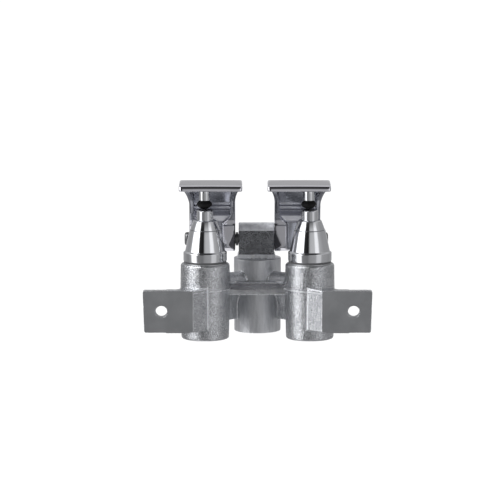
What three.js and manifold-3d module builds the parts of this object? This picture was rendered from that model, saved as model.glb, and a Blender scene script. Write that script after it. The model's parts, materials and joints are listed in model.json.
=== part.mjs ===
// Twin foot-pedal mixing valve, floor or wall mounted: one cast body with two inlet barrels and a
// shared outlet barrel, two spring-closed plunger valves under tapered bonnets, and two angle
// pedals on one hinge axle. Millimetres, +Z up. The body stands on its three port bosses at z = 0,
// X runs along the hinge axle, and the machined mounting ears face -Y. Sizes below are drawn about
// the line between the two inlet barrels; the finished assembly is then centred in Y.
import * as THREE from "three";
import { mergeVertices } from "three/addons/utils/BufferGeometryUtils.js";
import Module from "manifold-3d";

const wasm = await Module();
wasm.setup();

// ---- driving dimensions (mm) ----
const BARREL_X = 41.75; // inlet barrel axes, either side of centre
const BARREL_R = 19.05; // 1 1/2 in port boss, at the foot
const PARTING_R = 19.9; // drafted out to the parting line at z 40
const BARREL_TOP_R = 19.6;
const RIM_R = 17.3; // machined rim that carries the gasket
const RIM_T = 0.9;
const BARREL_H = 60.4;
const OUTLET_Y = 39.0; // outlet barrel axis, behind the inlet barrels
const OUTLET_R = 19.0;
const OUTLET_H = 59.4;
const PORT_R = 10.3; // 1/2 in pipe thread, drawn as a plain hole
const PORT_DEPTH = 17.0;
const CHAMBER_R = 9.3; // valve chamber and seat ring thread
const GALLERY_R = 10.6;
const GALLERY_Z = [37.2, 46.0];
const BONNET_BORE_R = 13.6;
const EAR_FACE_Y = -29.5; // machined mounting plane
const EAR_THICK = 9.5;
const EAR_Z = [8.8, 42.4];
const EAR_X = [51.2, 91.05]; // machined face, inner and outer edge
const EAR_HOLE_X = 76.2; // 6 in between bolt holes
const EAR_HOLE_Z = 25.8;
const EAR_HOLE_R = 4.65;
const TUBE_Z = 42.3; // cross tubes from the inlet barrels to the outlet barrel
const TUBE_R = 8.7;
const PASSAGE_R = 4.2;
const WEB_Z0 = 10.8;
const WEB_T = 5.0;
const WEB_SET = 5.8; // the webs stand behind the tubes' centre lines
const SHELF = [
  [6.0, 33.6],
  [6.0, 38.0],
  [12.0, 42.8],
  [27.0, 42.8],
  [27.0, 33.6],
];
const BLOCK_X = [-15.15, 13.55]; // hinge block on the outlet barrel
const BLOCK_T = 13.5;
const AXLE_Y = 39.25;
const AXLE_Z = 74.2;
const BLOCK_ROUND_Z = 80.85;
const AXLE_R = 4.0;
const AXLE_X = [-58.7, 57.0];
const AXLE_HEAD_R = 5.45;
const AXLE_HEAD_T = 3.6;
const BLOCK_BORE_R = 4.25;
const PEDAL_FLOAT = -2.1; // both pedals sit to one side of their end play
const PLATE_X = [9.8, 60.6]; // pedal plate, outboard from the middle
const PLATE_Y = [-12.0, 27.0];
const PLATE_Z = [119.0, 124.0];
const ARM_X = [15.7, 52.6]; // outer faces of the pedal's two arms
const ARM_INNER = [25.7, 43.1]; // inner faces of the arms at the hinge
const EYE_R = 10.0;
const EYE_BORE_R = 6.5;
const BUSH_R = 6.15;
const BUSH_BORE_R = 4.3;
const PUSHER_X = { left: -42.2, right: 40.9 };
const PUSHER_R = 4.5;
const PLUNGER_R = 6.6;
const PLUNGER_TOP = 103.2;
const CAP_BORE_R = 6.95;
const SPINDLE_R = 2.5;
const SPRING_Z = [56.4, 77.6];
const SPRING_R = 6.3;
const SPRING_WIRE_R = 0.8;
const SPRING_TURNS = 5;
const CENTRE_Y = 14.25; // middle of the overall depth, from the ear faces to the outlet barrel

// ---- materials ----
const mat = (color, roughness, metalness) =>
  new THREE.MeshStandardMaterial({ color, roughness, metalness });
const CAST = mat(0xa9adb3, 0.42, 1.0);
const CHROME = mat(0xc9ccd1, 0.1, 1.0);
const BRASS = mat(0xb99a55, 0.35, 1.0);
const STEEL = mat(0x9a9c9f, 0.35, 1.0);
const RUBBER = mat(0x0c0c0d, 0.55, 0.0);
const FIBRE = mat(0x2a2a2c, 0.8, 0.0);
const NYLON = mat(0xd8d6cf, 0.5, 0.0);

// ---- solids from three.js geometries ----
function solidFromArrays(position, index) {
  const tri = [];
  for (let i = 0; i < index.length; i += 3) {
    const [a, b, c] = [index[i], index[i + 1], index[i + 2]];
    if (a !== b && b !== c && c !== a) tri.push(a, b, c);
  }
  const make = (t) =>
    new wasm.Manifold(
      new wasm.Mesh({ numProp: 3, vertProperties: position, triVerts: new Uint32Array(t) }),
    );
  const solid = make(tri);
  if (solid.volume() >= 0) return solid;
  const flipped = [];
  for (let i = 0; i < tri.length; i += 3) flipped.push(tri[i], tri[i + 2], tri[i + 1]);
  return make(flipped);
}
function solid(geometry) {
  let g = geometry.index ? geometry.toNonIndexed() : geometry.clone();
  for (const name of Object.keys(g.attributes)) if (name !== "position") g.deleteAttribute(name);
  g = mergeVertices(g, 1e-4);
  return solidFromArrays(Float32Array.from(g.attributes.position.array), g.index.array);
}
function geometryOf(s) {
  const m = s.getMesh();
  const n = m.numProp;
  const v = new Float32Array(m.numVert * 3);
  for (let i = 0; i < m.numVert; i++) v.set(m.vertProperties.subarray(i * n, i * n + 3), i * 3);
  const g = new THREE.BufferGeometry()
    .setAttribute("position", new THREE.BufferAttribute(v, 3))
    .setIndex(new THREE.BufferAttribute(Uint32Array.from(m.triVerts), 1));
  g.computeVertexNormals();
  return g;
}

// A revolve of [radius, z] points about Z. A profile that never meets the axis closes on itself.
function revolve(profile, segments = 24, phase = 0) {
  const pts = profile.map(([r, z]) => new THREE.Vector2(r, z));
  const onAxis = profile[0][0] === 0 && profile[profile.length - 1][0] === 0;
  if (!onAxis) pts.push(pts[0].clone());
  const g = new THREE.LatheGeometry(pts, segments, phase);
  g.rotateX(Math.PI / 2);
  return g;
}
const cylinder = (r, z0, z1, segments = 24) =>
  revolve([[0, z0], [r, z0], [r, z1], [0, z1]], segments);
const at = (g, x, y, z = 0) => g.translate(x, y, z);
// Turns a geometry made along Z so that it runs along +X, or along +Y.
const alongX = (g) => g.rotateY(Math.PI / 2);
const alongY = (g) => g.rotateX(-Math.PI / 2);

function prism(points, length) {
  const shape = new THREE.Shape(points.map(([a, b]) => new THREE.Vector2(a, b)));
  return new THREE.ExtrudeGeometry(shape, { depth: length, bevelEnabled: false, steps: 1 });
}
// Outline in X-Y, from z0 to z1.
const prismXY = (points, z0, z1) => prism(points, z1 - z0).translate(0, 0, z0);
// Outline in Y-Z, from x0 to x1.
function prismYZ(points, x0, x1) {
  const g = prism(points, x1 - x0); // shape x = Y, shape y = Z, depth = X
  g.applyMatrix4(new THREE.Matrix4().set(0, 0, 1, x0, 1, 0, 0, 0, 0, 1, 0, 0, 0, 0, 0, 1));
  return g;
}
// Outline in X-Z, from y0 to y1.
function prismXZ(points, y0, y1) {
  const g = prism(points, y1 - y0); // shape x = X, shape y = Z, depth runs along -Y
  g.applyMatrix4(new THREE.Matrix4().set(1, 0, 0, 0, 0, 0, -1, y1, 0, 1, 0, 0, 0, 0, 0, 1));
  return g;
}
function arc(cx, cy, r, a0, a1, n) {
  const pts = [];
  for (let i = 0; i <= n; i++) {
    const a = ((a0 + ((a1 - a0) * i) / n) * Math.PI) / 180;
    pts.push([cx + r * Math.cos(a), cy + r * Math.sin(a)]);
  }
  return pts;
}
function roundedRect(x0, y0, x1, y1, r, n = 3) {
  return [
    ...arc(x1 - r, y0 + r, r, -90, 0, n),
    ...arc(x1 - r, y1 - r, r, 0, 90, n),
    ...arc(x0 + r, y1 - r, r, 90, 180, n),
    ...arc(x0 + r, y0 + r, r, 180, 270, n),
  ];
}
const union = (parts) => parts.map(solid).reduce((a, b) => a.add(b));

// ---- the body casting ----
const inletProfile = [
  [0, 0],
  [BARREL_R - 2.4, 0],
  [BARREL_R - 0.7, 0.7],
  [BARREL_R, 2.4],
  [PARTING_R, 39.2],
  [PARTING_R, 40.8],
  [BARREL_TOP_R, BARREL_H - 1.8],
  [BARREL_TOP_R - 0.5, BARREL_H - 0.5],
  [BARREL_TOP_R - 1.8, BARREL_H],
  [RIM_R, BARREL_H],
  [RIM_R, BARREL_H + RIM_T],
  [0, BARREL_H + RIM_T],
];
function barrelProfile(r, h) {
  return [
    [0, 0],
    [r - 2.4, 0],
    [r - 0.7, 0.7],
    [r, 2.4],
    [r, h - 1.8],
    [r - 0.5, h - 0.5],
    [r - 1.8, h],
    [0, h],
  ];
}
function valveBody() {
  const out = [];
  const reach = Math.hypot(BARREL_X, OUTLET_Y);
  for (const s of [-1, 1]) {
    out.push(at(revolve(inletProfile, 32), s * BARREL_X, 0));
    const heading = Math.atan2(OUTLET_Y, -s * BARREL_X);
    out.push(
      alongX(cylinder(TUBE_R, 0, reach, 20)).rotateZ(heading).translate(s * BARREL_X, 0, TUBE_Z),
    );
    out.push(
      new THREE.BoxGeometry(reach, WEB_T, TUBE_Z - WEB_Z0)
        .translate(reach / 2, -s * WEB_SET, (TUBE_Z + WEB_Z0) / 2)
        .rotateZ(heading)
        .translate(s * BARREL_X, 0, 0),
    );
  }
  out.push(at(revolve(barrelProfile(OUTLET_R, OUTLET_H), 32), 0, OUTLET_Y));
  const half = BLOCK_T / 2;
  out.push(
    prismYZ(
      [
        [AXLE_Y - half, OUTLET_H - 2],
        [AXLE_Y + half, OUTLET_H - 2],
        ...arc(AXLE_Y, BLOCK_ROUND_Z, half, 0, 180, 10),
      ],
      BLOCK_X[0],
      BLOCK_X[1],
    ),
  );
  out.push(
    prismYZ(
      [
        [AXLE_Y - half - 1.2, OUTLET_H - 2],
        [AXLE_Y + half + 1.2, OUTLET_H - 2],
        [AXLE_Y + half + 1.2, OUTLET_H + 0.8],
        [AXLE_Y + half, OUTLET_H + 2],
        [AXLE_Y - half, OUTLET_H + 2],
        [AXLE_Y - half - 1.2, OUTLET_H + 0.8],
      ],
      BLOCK_X[0] - 0.9,
      BLOCK_X[1] + 0.9,
    ),
  );
  let body = union(out);
  // The straight shelf between the inlet barrels, kept inside the cross tubes at its ends.
  const shelf = solid(prismYZ(SHELF, -32, 32)).intersect(
    solid(prismXY([[-30, 0], [30, 0], [12, 26], [-12, 26]], 30, 46)),
  );
  body = body.add(shelf);
  // Mounting ears: a machined pad, with a cast web that runs back into the barrel.
  for (const s of [-1, 1]) {
    const plan = [
      [39.4, -18.2],
      [EAR_X[0], EAR_FACE_Y],
      [EAR_X[1], EAR_FACE_Y],
      [EAR_X[1], EAR_FACE_Y + EAR_THICK],
      [70.5, EAR_FACE_Y + EAR_THICK],
      [66.0, -19.0],
      [62.8, -16.6],
      [61.2, -12.6],
      [60.4, -6.0],
      [56.0, 0.0],
      [41.75, 0.0],
    ].map(([x, y]) => [s * x, y]);
    if (s < 0) plan.reverse();
    // the outer end leans in towards the foot
    const lean = (x, z) => (x > 60 ? (1.15 * (EAR_Z[1] - z)) / (EAR_Z[1] - EAR_Z[0]) : 0);
    const front = roundedRect(30, EAR_Z[0], EAR_X[1], EAR_Z[1], 2.0).map(([x, z]) => [
      s * (x - lean(x, z)),
      z,
    ]);
    if (s < 0) front.reverse();
    const ear = solid(prismXY(plan, EAR_Z[0], EAR_Z[1])).intersect(
      solid(prismXZ(front, EAR_FACE_Y - 1, 5)),
    );
    body = body.add(ear);
  }
  // Bores
  const cuts = [];
  for (const s of [-1, 1]) {
    cuts.push(
      at(
        revolve(
          [
            [0, -1],
            [PORT_R + 0.9, -1],
            [PORT_R + 0.9, 0.2],
            [PORT_R, 1.1],
            [PORT_R, PORT_DEPTH],
            [CHAMBER_R, PORT_DEPTH + 1],
            [CHAMBER_R, GALLERY_Z[0]],
            [GALLERY_R, GALLERY_Z[0]],
            [GALLERY_R, GALLERY_Z[1]],
            [BONNET_BORE_R, GALLERY_Z[1]],
            [BONNET_BORE_R, BARREL_H + 2],
            [0, BARREL_H + 2],
          ],
          24,
        ),
        s * BARREL_X,
        0,
      ),
    );
    const heading = Math.atan2(OUTLET_Y, -s * BARREL_X);
    cuts.push(
      alongX(cylinder(PASSAGE_R, 0, reach, 12)).rotateZ(heading).translate(s * BARREL_X, 0, 41.6),
    );
    cuts.push(
      alongY(cylinder(EAR_HOLE_R, 0, 20, 20)).translate(
        s * EAR_HOLE_X,
        EAR_FACE_Y - 5,
        EAR_HOLE_Z,
      ),
    );
  }
  cuts.push(
    at(
      revolve(
        [
          [0, -1],
          [PORT_R + 0.9, -1],
          [PORT_R + 0.9, 0.2],
          [PORT_R, 1.1],
          [PORT_R, PORT_DEPTH],
          [8.4, PORT_DEPTH + 1.5],
          [8.4, 48.5],
          [0, 51.0],
        ],
        24,
      ),
      0,
      OUTLET_Y,
    ),
  );
  cuts.push(
    alongX(cylinder(BLOCK_BORE_R, 0, 60, 24)).translate(-30, AXLE_Y, AXLE_Z),
  );
  for (const c of cuts) body = body.subtract(solid(c));
  return body;
}

// ---- the valve cartridges, drawn about each inlet barrel's axis ----
const bonnetProfile = [
  [3.0, 47.0],
  [13.25, 47.0],
  [13.25, 62.6],
  [17.4, 62.6],
  [17.4, 69.4],
  [15.9, 70.6],
  [12.4, 87.2],
  [10.4, 87.2],
  [10.4, 81.4],
  [9.7, 80.6],
  [9.7, 56.0],
  [3.0, 56.0],
  [3.0, 53.2],
  [5.1, 53.2],
  [5.1, 50.7],
  [3.0, 50.7],
];
const capProfile = [
  [CAP_BORE_R, 82.0],
  [10.1, 82.0],
  [10.1, 87.5],
  [12.05, 87.5],
  [9.3, 94.6],
  [8.7, 95.2],
  [CAP_BORE_R, 95.2],
];
const plungerProfile = [
  [0, 86.2],
  [2.8, 86.2],
  [2.8, 78.0],
  [9.2, 78.0],
  [9.2, 81.6],
  [PLUNGER_R, 81.6],
  [PLUNGER_R, PLUNGER_TOP - 0.9],
  [PLUNGER_R - 0.8, PLUNGER_TOP],
  [0, PLUNGER_TOP],
];
function spring() {
  const curve = new (class extends THREE.Curve {
    getPoint(t, target = new THREE.Vector3()) {
      const a = t * SPRING_TURNS * 2 * Math.PI;
      const z0 = SPRING_Z[0] + SPRING_WIRE_R;
      const z1 = SPRING_Z[1] - SPRING_WIRE_R;
      return target.set(SPRING_R * Math.cos(a), SPRING_R * Math.sin(a), z0 + (z1 - z0) * t);
    }
  })();
  const section = new THREE.Shape(
    arc(0, 0, SPRING_WIRE_R, 0, 288, 4).map(([a, b]) => new THREE.Vector2(a, b)),
  );
  return new THREE.ExtrudeGeometry(section, {
    steps: SPRING_TURNS * 10,
    extrudePath: curve,
    bevelEnabled: false,
  });
}
function hexNut(z0, z1, across, bore) {
  const r = across / Math.sqrt(3);
  return solid(prismXY(arc(0, 0, r, 0, 300, 5), z0, z1)).subtract(
    solid(cylinder(bore, z0 - 1, z1 + 1, 16)),
  );
}

// ---- one pedal casting, drawn outboard-positive and mirrored for the left ----
function pedal(side) {
  const s = side === "left" ? -1 : 1;
  // side view outline, Y-Z: pad underside, wall fronts, hinge eye, back wall
  const outline = [
    [1.0, 120.0],
    [5.0, 115.0],
    [11.0, 108.6],
    [18.0, 103.0],
    [24.5, 97.0],
    [27.6, 91.0],
    [28.3, 86.8],
    [AXLE_Y - EYE_R, 85.4], // flat front of the hinge hub
    [AXLE_Y - EYE_R, 71.0],
    [30.2, 68.2],
    [32.6, 65.9],
    [36.0, 64.5],
    ...arc(AXLE_Y, AXLE_Z, EYE_R, 270, 368, 8),
    [47.6, 85.0],
    [44.8, 96.0],
    [40.8, 107.0],
    [36.0, 115.5],
    [31.0, 120.6],
    [25.0, 123.0],
    [1.0, 123.0],
  ];
  // front view outline, X-Z: the walls flare out to the plate
  const flare = [
    [ARM_X[0], 60],
    [ARM_X[1], 60],
    [ARM_X[1], 106.0],
    [53.2, 110.0],
    [54.5, 114.0],
    [56.6, 118.0],
    [58.2, 120.0],
    [58.2, 124.5],
    [12.2, 124.5],
    [12.2, 120.0],
    [13.8, 118.0],
    [14.9, 114.0],
    [15.4, 110.0],
    [ARM_X[0], 106.0],
  ];
  // the hollow between the walls, in front of the back wall, down to the raised front of the hub;
  // between the arms the hub's front is set back
  const hollowSide = [
    [-30, 50],
    [31.6, 50],
    [31.6, 88.8],
    [32.4, 89.8],
    [33.3, 94.4],
    [36.2, 95.6],
    [40.4, 96.8],
    [36.8, 106.0],
    [32.2, 113.6],
    [27.0, 118.6],
    [20.0, 119.6],
    [-30, 119.6],
  ];
  const hollowFront = [
    [ARM_INNER[0], 40],
    [ARM_INNER[1], 40],
    [ARM_INNER[1], 86.0],
    [48.6, 96.5],
    [49.4, 108.0],
    [53.0, 116.0],
    [53.6, 121.0],
    [16.2, 121.0],
    [16.8, 116.0],
    [19.0, 108.0],
    [19.7, 96.5],
    [ARM_INNER[0], 86.0],
  ];
  let shell = solid(prismYZ(outline, 0, 80)).intersect(solid(prismXZ(flare, -40, 60)));
  const hollow = solid(prismYZ(hollowSide, 0, 80)).intersect(
    solid(prismXZ(hollowFront, -40, 70)),
  );
  const plate = solid(
    prismXY(roundedRect(PLATE_X[0], PLATE_Y[0], PLATE_X[1], PLATE_Y[1], 3.0), ...PLATE_Z),
  )
    // the front edge rolls over
    .intersect(
      solid(
        prismYZ(
          [
            [PLATE_Y[0] + 0.5, PLATE_Z[0]],
            [PLATE_Y[1], PLATE_Z[0]],
            [PLATE_Y[1], PLATE_Z[1] - 2.2],
            [PLATE_Y[1] - 4, PLATE_Z[1]],
            [PLATE_Y[0] + 1.6, PLATE_Z[1]],
            [PLATE_Y[0] + 0.5, PLATE_Z[1] - 0.5],
            [PLATE_Y[0], PLATE_Z[1] - 1.8],
            [PLATE_Y[0], PLATE_Z[0] + 1.0],
          ],
          0,
          80,
        ),
      ),
    );
  let p = shell.subtract(hollow).add(plate);
  p = p.subtract(
    solid(alongX(cylinder(EYE_BORE_R, 0, 80, 24)).translate(0, AXLE_Y, AXLE_Z)),
  );
  // blind hole for the pusher pin's spigot
  const pinX = s * (PUSHER_X[side] - PEDAL_FLOAT);
  p = p.subtract(solid(at(cylinder(3.3, 100, 122.4, 16), pinX, 0)));
  // mirror or keep, then shift by the end play
  const m = p.getMesh();
  const v = Float32Array.from(m.vertProperties);
  for (let i = 0; i < v.length; i += m.numProp) v[i] = s * v[i] + PEDAL_FLOAT;
  return solidFromArrays(v, m.triVerts);
}
const bumperProfile = () => {
  const r = 6.2;
  const z0 = PLUNGER_TOP + 0.3;
  const depth = 4.4;
  const pts = [[0, z0]];
  for (const a of [15, 30, 45, 60, 75, 90]) {
    const t = (a * Math.PI) / 180;
    pts.push([r * Math.sin(t), z0 + depth * (1 - Math.cos(t))]);
  }
  pts.push([6.0, 109.0], [5.3, 110.0], [4.3, 110.7], [2.1, 110.7], [2.1, 113.4], [0, 113.4]);
  return pts;
};
const pusherProfile = [
  [0, 114.0],
  [2.4, 114.0],
  [2.4, 110.8],
  [PUSHER_R - 0.4, 110.8],
  [PUSHER_R, 111.2],
  [PUSHER_R, 118.6],
  [3.0, 118.6],
  [3.0, 122.0],
  [0, 122.0],
];

// ---- the assembly ----
const part = new THREE.Group();
const assembly = new THREE.Group();
assembly.position.y = -CENTRE_Y;
part.add(assembly);
function add(parent, name, s, material, x = 0, y = 0, z = 0) {
  const mesh = new THREE.Mesh(geometryOf(s), material.clone());
  mesh.name = name;
  mesh.position.set(x, y, z);
  parent.add(mesh);
  return mesh;
}
add(assembly, "valve_body", valveBody(), CAST);

for (const side of ["left", "right"]) {
  const s = side === "left" ? -1 : 1;
  const cartridge = new THREE.Group();
  cartridge.position.set(s * BARREL_X, 0, 0);
  assembly.add(cartridge);
  const rev = (profile, n) => solid(revolve(profile, n));
  add(cartridge, `${side}_seat_ring`, rev([[5.2, 34.0], [8.9, 34.0], [8.9, 36.9], [5.8, 36.9], [5.2, 36.3]], 20), BRASS);
  add(cartridge, `${side}_bonnet_gasket`, rev([[13.7, 61.4], [16.9, 61.4], [16.9, 62.5], [13.7, 62.5]], 24), FIBRE);
  add(cartridge, `${side}_bonnet`, rev(bonnetProfile, 24), CHROME);
  add(cartridge, `${side}_bonnet_cap`, rev(capProfile, 24), CHROME);
  add(cartridge, `${side}_spindle_o_ring`, rev([[2.8, 51.5], [3.4, 51.0], [4.2, 51.0], [4.8, 51.6], [4.8, 52.3], [4.2, 52.9], [3.4, 52.9], [2.8, 52.4]], 16), RUBBER);
  add(cartridge, `${side}_return_spring`, solid(spring()), STEEL);
  add(cartridge, `${side}_plunger`, rev(plungerProfile, 24), CHROME);
  add(cartridge, `${side}_spindle`, rev([[0, 22.0], [2.2, 22.0], [SPINDLE_R, 22.4], [SPINDLE_R, 85.8], [0, 85.8]], 16), BRASS);
  add(cartridge, `${side}_valve_disc_holder`, rev([[2.8, 27.6], [5.4, 27.6], [7.2, 29.0], [7.2, 31.5], [2.8, 31.5]], 20), BRASS);
  add(cartridge, `${side}_valve_seat_washer`, rev([[2.8, 31.8], [6.9, 31.8], [6.9, 33.7], [2.8, 33.7]], 20), RUBBER);
  add(cartridge, `${side}_spindle_nut`, hexNut(23.6, 27.3, 8.0, 2.8), BRASS);

  const lever = new THREE.Group();
  assembly.add(lever);
  add(lever, `${side}_pedal`, pedal(side), CHROME);
  add(lever, `${side}_pusher_pin`, rev(pusherProfile, 20), CHROME, PUSHER_X[side]);
  add(lever, `${side}_pusher_bumper`, rev(bumperProfile(), 20), RUBBER, PUSHER_X[side]);
  for (const [where, x0, x1] of [
    ["inner", ARM_X[0] + 0.2, ARM_INNER[0]],
    ["outer", ARM_INNER[1], ARM_X[1] - 0.2],
  ]) {
    const a = s * x0 + PEDAL_FLOAT;
    const b = s * x1 + PEDAL_FLOAT;
    const bush = solid(
      alongX(
        revolve(
          [
            [BUSH_BORE_R, Math.min(a, b)],
            [BUSH_R, Math.min(a, b)],
            [BUSH_R, Math.max(a, b)],
            [BUSH_BORE_R, Math.max(a, b)],
          ],
          24,
        ),
      ),
    );
    add(lever, `${side}_hinge_bush_${where}`, bush, NYLON, 0, AXLE_Y, AXLE_Z);
  }
}

// The hinge axle has a button head on the left and a cap nut on the right; a spacer washer sits
// beside the block on the left and under the cap nut on the right.
const hinge = new THREE.Group();
hinge.position.set(0, AXLE_Y, AXLE_Z);
assembly.add(hinge);
add(
  hinge,
  "hinge_axle",
  solid(
    alongX(
      revolve(
        [
          [0, AXLE_X[0]],
          [AXLE_HEAD_R - 1.2, AXLE_X[0]],
          [AXLE_HEAD_R, AXLE_X[0] + 1.2],
          [AXLE_HEAD_R, AXLE_X[0] + AXLE_HEAD_T],
          [AXLE_R, AXLE_X[0] + AXLE_HEAD_T],
          [AXLE_R, AXLE_X[1] - 1.6],
          [0, AXLE_X[1] - 1.6],
        ],
        24,
      ),
    ),
  ),
  STEEL,
);
add(
  hinge,
  "axle_cap_nut",
  solid(
    alongX(
      revolve(
        [
          [0, AXLE_X[1] - 1.2],
          [4.3, AXLE_X[1] - 1.2],
          [4.3, AXLE_X[1] - AXLE_HEAD_T],
          [AXLE_HEAD_R, AXLE_X[1] - AXLE_HEAD_T],
          [AXLE_HEAD_R, AXLE_X[1] - 1.2],
          [AXLE_HEAD_R - 1.2, AXLE_X[1]],
          [0, AXLE_X[1]],
        ],
        20,
      ),
    ),
  ),
  STEEL,
);
for (const [name, x0, x1] of [
  ["axle_spacer_left", -17.5, -15.45],
  ["axle_spacer_right", 51.0, 53.1],
]) {
  add(
    hinge,
    name,
    solid(alongX(revolve([[4.3, x0], [AXLE_HEAD_R, x0], [AXLE_HEAD_R, x1], [4.3, x1]], 20))),
    STEEL,
  );
}

export default part;
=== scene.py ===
import json  # noqa: E402
import math  # noqa: E402

import bpy  # noqa: E402
import numpy as np  # noqa: E402
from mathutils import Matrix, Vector  # noqa: E402


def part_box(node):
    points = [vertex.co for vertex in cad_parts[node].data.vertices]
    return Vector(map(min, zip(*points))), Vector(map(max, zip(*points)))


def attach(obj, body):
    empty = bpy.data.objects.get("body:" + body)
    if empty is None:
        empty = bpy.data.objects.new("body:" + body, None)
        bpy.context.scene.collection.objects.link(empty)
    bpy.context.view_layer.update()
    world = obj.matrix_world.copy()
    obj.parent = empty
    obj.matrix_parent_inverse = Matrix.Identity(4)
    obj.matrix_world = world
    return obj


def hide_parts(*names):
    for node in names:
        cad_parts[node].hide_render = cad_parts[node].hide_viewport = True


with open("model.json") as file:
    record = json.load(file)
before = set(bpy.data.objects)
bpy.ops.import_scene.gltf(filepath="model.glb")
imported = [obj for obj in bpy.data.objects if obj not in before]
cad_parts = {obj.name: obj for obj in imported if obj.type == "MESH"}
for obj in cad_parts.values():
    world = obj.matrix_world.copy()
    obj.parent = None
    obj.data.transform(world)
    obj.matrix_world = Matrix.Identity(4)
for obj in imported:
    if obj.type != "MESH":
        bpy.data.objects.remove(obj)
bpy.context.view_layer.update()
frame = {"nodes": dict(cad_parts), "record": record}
MM = 0.001

# Shapes below are drawn in millimetres about the line between the two inlet barrels. The packed
# frame says where that line is: 29.5 mm behind the mounting faces.
BODY_LO, BODY_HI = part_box("valve_body")
DY = BODY_LO.y / MM + 29.5
AXLE_LO, AXLE_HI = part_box("hinge_axle")
AXLE_Y = (AXLE_LO.y + AXLE_HI.y) / 2 / MM - DY
AXLE_Z = (AXLE_LO.z + AXLE_HI.z) / 2 / MM


# ------------------------------------------------------------------ meshes
def make_object(name, verts, faces, mats, index=None, smooth=True, sharp_deg=None):
    """verts in drawn millimetres; faces is a list, or an (n, 4) array."""
    co = np.asarray(verts, float).copy()
    co[:, 1] += DY
    co *= MM
    me = bpy.data.meshes.new(name)
    if isinstance(faces, np.ndarray):
        n = len(faces)
        me.vertices.add(len(co))
        me.vertices.foreach_set("co", co.astype(np.float32).ravel())
        me.loops.add(n * faces.shape[1])
        me.loops.foreach_set("vertex_index", faces.astype(np.int32).ravel())
        me.polygons.add(n)
        me.polygons.foreach_set(
            "loop_start", (np.arange(n) * faces.shape[1]).astype(np.int32)
        )
        me.update(calc_edges=True)
        me.validate()
    else:
        me.from_pydata([tuple(c) for c in co], [], faces)
        me.update()
    me.polygons.foreach_set("use_smooth", [smooth] * len(me.polygons))
    for m in mats:
        me.materials.append(m)
    if index is not None:
        me.polygons.foreach_set("material_index", np.asarray(index, np.int32))
    ob = bpy.data.objects.new(name, me)
    bpy.context.scene.collection.objects.link(ob)
    if sharp_deg is not None:
        me.set_sharp_from_angle(angle=math.radians(sharp_deg))
    me.update()
    return ob


def round_profile(points, steps=4):
    """[(r, z, fillet radius)] with each marked corner turned into an arc."""
    out = []
    n = len(points)
    closed = points[0][0] > 0
    for i, p in enumerate(points):
        rad = p[2] if len(p) > 2 else 0
        if rad <= 0 or (not closed and i in (0, n - 1)):
            out.append((p[0], p[1]))
            continue
        a, b = points[i - 1], points[(i + 1) % n]
        pa = np.array([a[0] - p[0], a[1] - p[1]], float)
        pb = np.array([b[0] - p[0], b[1] - p[1]], float)
        la, lb = np.linalg.norm(pa), np.linalg.norm(pb)
        pa, pb = pa / la, pb / lb
        ang = math.acos(max(-1, min(1, float(pa @ pb))))
        t = min(rad / math.tan(ang / 2), la * 0.48, lb * 0.48)
        r = t * math.tan(ang / 2)
        bis = pa + pb
        bis /= np.linalg.norm(bis)
        c = np.array([p[0], p[1]]) + bis * (r / math.sin(ang / 2))
        s = np.array([p[0], p[1]]) + pa * t - c
        e = np.array([p[0], p[1]]) + pb * t - c
        a0, a1 = math.atan2(s[1], s[0]), math.atan2(e[1], e[0])
        d = (a1 - a0 + math.pi) % (2 * math.pi) - math.pi
        for k in range(steps + 1):
            q = a0 + d * k / steps
            out.append((c[0] + r * math.cos(q), c[1] + r * math.sin(q)))
    return out


def lathe(profile, centre, n=96, axis="z", steps=4):
    """Closed revolve of a profile given bottom to top with the solid on the axis side."""
    prof = round_profile(profile, steps)
    ring = profile[0][0] > 0
    verts, rows = [], []
    for r, z in prof:
        if r < 1e-9:
            rows.append([len(verts)])
            verts.append((0, 0, z))
        else:
            rows.append(list(range(len(verts), len(verts) + n)))
            for k in range(n):
                a = 2 * math.pi * k / n
                verts.append((r * math.cos(a), r * math.sin(a), z))
    faces = []
    pairs = list(zip(rows, rows[1:])) + ([(rows[-1], rows[0])] if ring else [])
    for lo, hi in pairs:
        for k in range(n):
            j = (k + 1) % n
            if len(lo) == 1 and len(hi) == 1:
                continue
            if len(lo) == 1:
                faces.append((lo[0], hi[j], hi[k]))
            elif len(hi) == 1:
                faces.append((lo[k], lo[j], hi[0]))
            else:
                faces.append((lo[k], lo[j], hi[j], hi[k]))
    v = np.array(verts, float)
    if axis == "x":
        v = v[:, [2, 0, 1]]
    # outward faces whichever way the profile runs
    vol = 0.0
    for f in faces:
        for k in range(1, len(f) - 1):
            vol += float(np.dot(v[f[0]], np.cross(v[f[k]], v[f[k + 1]])))
    if vol < 0:
        faces = [tuple(reversed(f)) for f in faces]
    v += np.array(centre, float)
    return v, faces


# ------------------------------------------------------------------ distance fields
def hyp(a, b):
    return np.sqrt(a * a + b * b)


def smin(a, b, k):
    h = np.clip(0.5 + 0.5 * (b - a) / k, 0, 1)
    return b + (a - b) * h - k * h * (1 - h)


def smax(a, b, k):
    return -smin(-a, -b, k)


def two(d, h, r):
    """Rounded meeting of two half spaces, corner radius r."""
    d, h = d + r, h + r
    return np.minimum(np.maximum(d, h), 0) + hyp(np.maximum(d, 0), np.maximum(h, 0)) - r


def cyl(x, y, z, cx, cy, r, z0, z1, rr=0.0):
    return two(hyp(x - cx, y - cy) - r, np.abs(z - (z0 + z1) / 2) - (z1 - z0) / 2, rr)


def box3(x, y, z, lo, hi, rr):
    q = [
        np.abs(p - (a + b) / 2) - (b - a) / 2 + rr for p, a, b in zip((x, y, z), lo, hi)
    ]
    out = np.sqrt(sum(np.maximum(v, 0) ** 2 for v in q))
    return out + np.minimum(np.maximum(np.maximum(q[0], q[1]), q[2]), 0) - rr


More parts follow.
